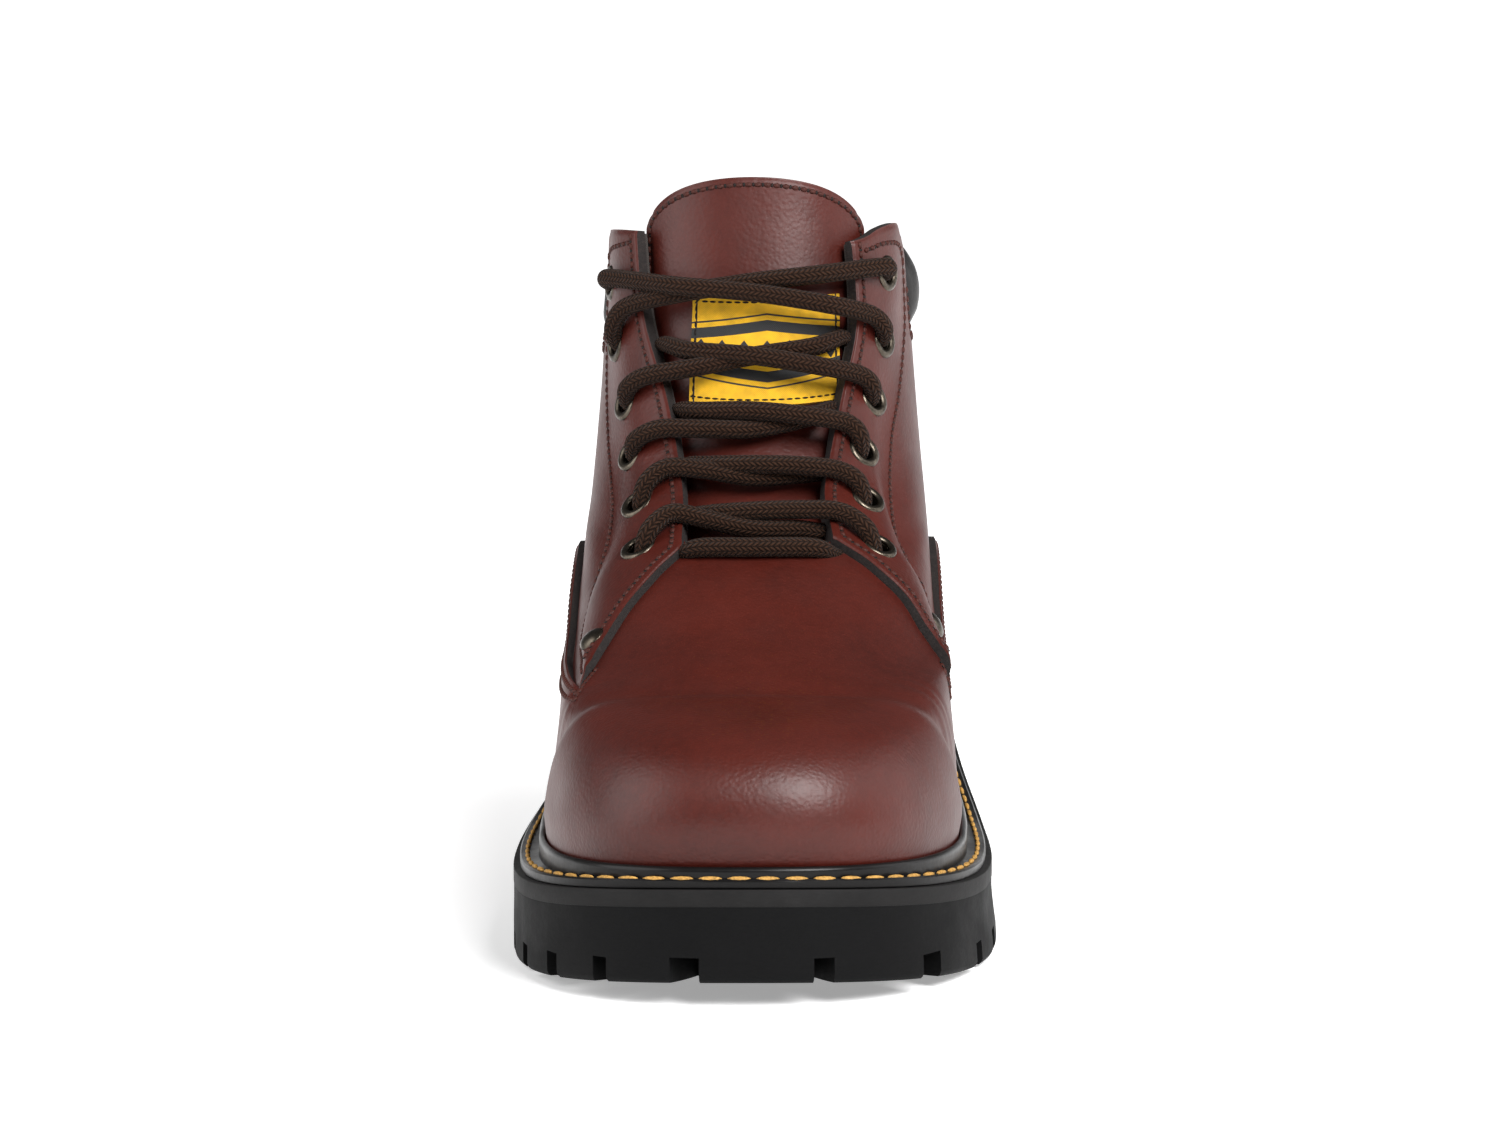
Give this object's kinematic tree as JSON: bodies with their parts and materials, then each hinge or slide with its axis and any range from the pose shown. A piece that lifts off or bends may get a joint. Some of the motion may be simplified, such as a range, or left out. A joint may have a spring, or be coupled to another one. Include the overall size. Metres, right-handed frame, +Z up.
{
  "type": "work boot",
  "caption": "Ankle-high lace-up leather safety work boot with a pressed toe cap, V-tipped facings, padded collar, storm welt and lugged rubber sole.",
  "frame": {"origin": "on the floor, at the middle of the boot's bounding box", "axes": "+Y from toe to heel, +X to the outer side of the left foot, +Z up"},
  "size_m": [0.1206, 0.308, 0.1848],
  "materials": {
    "leather": "oiled oxblood full-grain, semi-gloss",
    "rubber": "matte black moulded rubber",
    "midsole": "matte dark grey",
    "welt": "semi-gloss black with yellow stitching",
    "insole": "matte brown",
    "label": "woven yellow and black",
    "padding": "matte black padded",
    "metal": "antique, satin",
    "lace": "matte dark brown braid"
  },
  "bodies": {
    "root": {"outsole": "rubber", "midsole": "midsole", "welt": "welt", "insole": "insole", "upper": "leather", "tongue": "leather", "tongue_label": "label", "collar": "padding", "rivet_lateral": "metal", "rivet_medial": "metal", "eyelet_lateral_1": "metal", "eyelet_lateral_2": "metal", "eyelet_lateral_3": "metal", "eyelet_lateral_4": "metal", "eyelet_lateral_5": "metal", "eyelet_lateral_6": "metal", "eyelet_medial_1": "metal", "eyelet_medial_2": "metal", "eyelet_medial_3": "metal", "eyelet_medial_4": "metal", "eyelet_medial_5": "metal", "eyelet_medial_6": "metal", "lace_cross_1": "lace", "lace_cross_2": "lace", "lace_cross_3": "lace", "lace_cross_4": "lace", "lace_cross_5": "lace", "lace_bar": "lace"}
  },
  "joints": []
}
